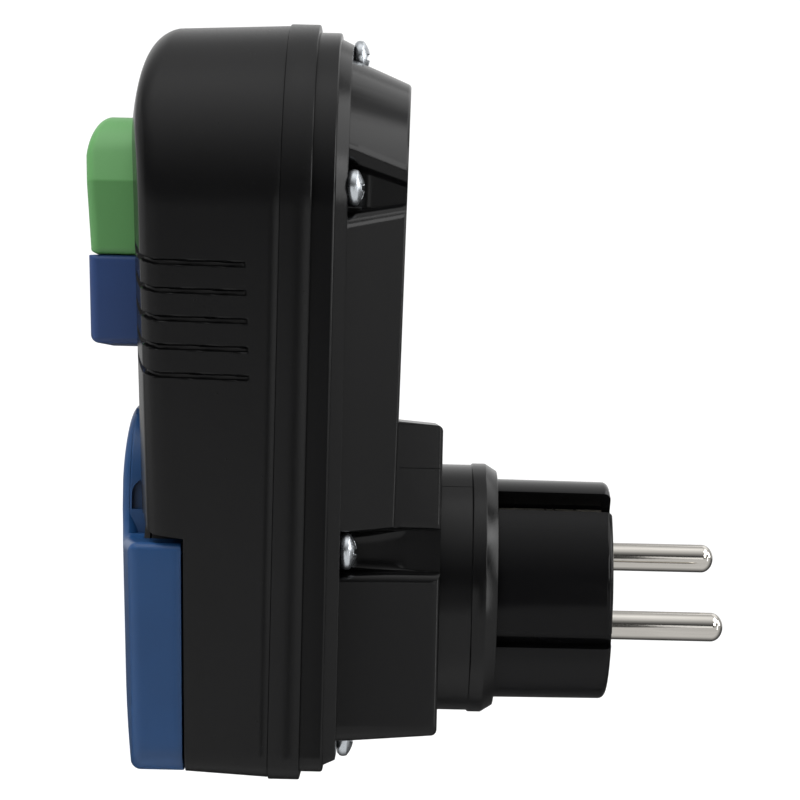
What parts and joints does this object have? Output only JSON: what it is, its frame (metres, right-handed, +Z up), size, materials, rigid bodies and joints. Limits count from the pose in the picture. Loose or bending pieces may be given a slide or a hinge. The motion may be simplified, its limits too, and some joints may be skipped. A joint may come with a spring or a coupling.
{
  "type": "rcd adapter plug",
  "caption": "Plug-in residual current adapter: arched housing, mains plug behind, socket outlet under a sprung flap in front, reset and test buttons above.",
  "frame": {"origin": "centre between the two plug pins, on the face of the plug body that the pins stand out of", "axes": "+Y along the pins towards their tips, so the buttons and the flap face -Y; +Z up towards the arched top; +X across the width"},
  "size_m": [0.066, 0.1074, 0.1235],
  "materials": {
    "shell_black": "satin black moulded plastic with a fine grain",
    "plug_black": "glossy black moulded plastic",
    "button_green": "satin green plastic",
    "button_navy": "satin dark blue plastic",
    "flap_blue": "satin blue plastic",
    "inner_black": "plain dark moulded plastic",
    "carrier_cream": "cream moulded plastic",
    "seal_rubber": "black rubber",
    "screw_zinc": "bright zinc plated steel",
    "pin_nickel": "nickel plated brass",
    "spring_steel": "drawn spring steel",
    "contact_brass": "bare brass",
    "coil_copper": "enamelled copper wire",
    "core_grey": "wound iron strip",
    "frame_steel": "bent sheet steel",
    "board_green": "green circuit board laminate",
    "resistor_tan": "lacquered ceramic body",
    "varistor_blue": "blue dipped coating"
  },
  "bodies": {
    "housing": {"front_shell": "shell_black", "rear_shell": "shell_black", "housing_gasket": "seal_rubber", "housing_screws": "screw_zinc", "plug_collar": "shell_black", "plug_insert": "plug_black", "plug_pin_upper": "pin_nickel", "plug_pin_lower": "pin_nickel", "plug_earth_strips": "contact_brass", "button_frame": "inner_black", "reset_spring": "spring_steel", "test_spring": "spring_steel", "lid_hinge_pin": "frame_steel", "lid_spring": "spring_steel", "socket_cup": "inner_black", "socket_screws": "screw_zinc", "socket_contact_left": "contact_brass", "socket_contact_right": "contact_brass", "socket_earth_clips": "contact_brass", "circuit_board": "board_green", "board_screws": "screw_zinc", "switch_base": "inner_black", "fixed_contacts": "contact_brass", "carrier_spring": "spring_steel", "solenoid_frame": "frame_steel", "solenoid_coil": "coil_copper", "transformer_core": "core_grey", "transformer_winding": "coil_copper", "line_bar": "contact_brass", "neutral_bar": "contact_brass", "earth_bar": "contact_brass", "test_resistor": "resistor_tan", "varistor": "varistor_blue"},
    "flap": {"lid": "flap_blue", "lid_gasket": "seal_rubber"},
    "reset": {"reset_button": "button_green"},
    "test": {"test_button": "button_navy"},
    "carrier": {"contact_carrier": "carrier_cream", "moving_contacts": "contact_brass"},
    "plunger": {"solenoid_plunger": "frame_steel"}
  },
  "joints": [
    {"name": "lid_hinge", "type": "hinge", "parent": "housing", "child": "flap", "pos_m": [0, -0.0768, 0.027], "axis": [-1, 0, 0], "range_deg": [0, 90], "stiffness_Nm_per_rad": 0.02, "springref_deg": -34.38, "deforming": ["lid_spring"]},
    {"name": "reset_slide", "type": "slide", "parent": "housing", "child": "reset", "axis": [0, 1, 0], "range_m": [0, 0.003], "stiffness_N_per_m": 600, "springref_m": -0.001, "deforming": ["reset_spring"]},
    {"name": "test_slide", "type": "slide", "parent": "housing", "child": "test", "axis": [0, 1, 0], "range_m": [0, 0.003], "stiffness_N_per_m": 400, "springref_m": -0.001, "deforming": ["test_spring"]},
    {"name": "contact_slide", "type": "slide", "parent": "housing", "child": "carrier", "axis": [0, 1, 0], "range_m": [0, 0.003], "deforming": ["carrier_spring"]},
    {"name": "plunger_slide", "type": "slide", "parent": "housing", "child": "plunger", "axis": [0, 0, 1], "range_m": [0, 0.0025], "stiffness_N_per_m": 60}
  ],
  "couplings": [
    {"joint": "contact_slide", "follows": "reset_slide", "ratio": 1}
  ]
}
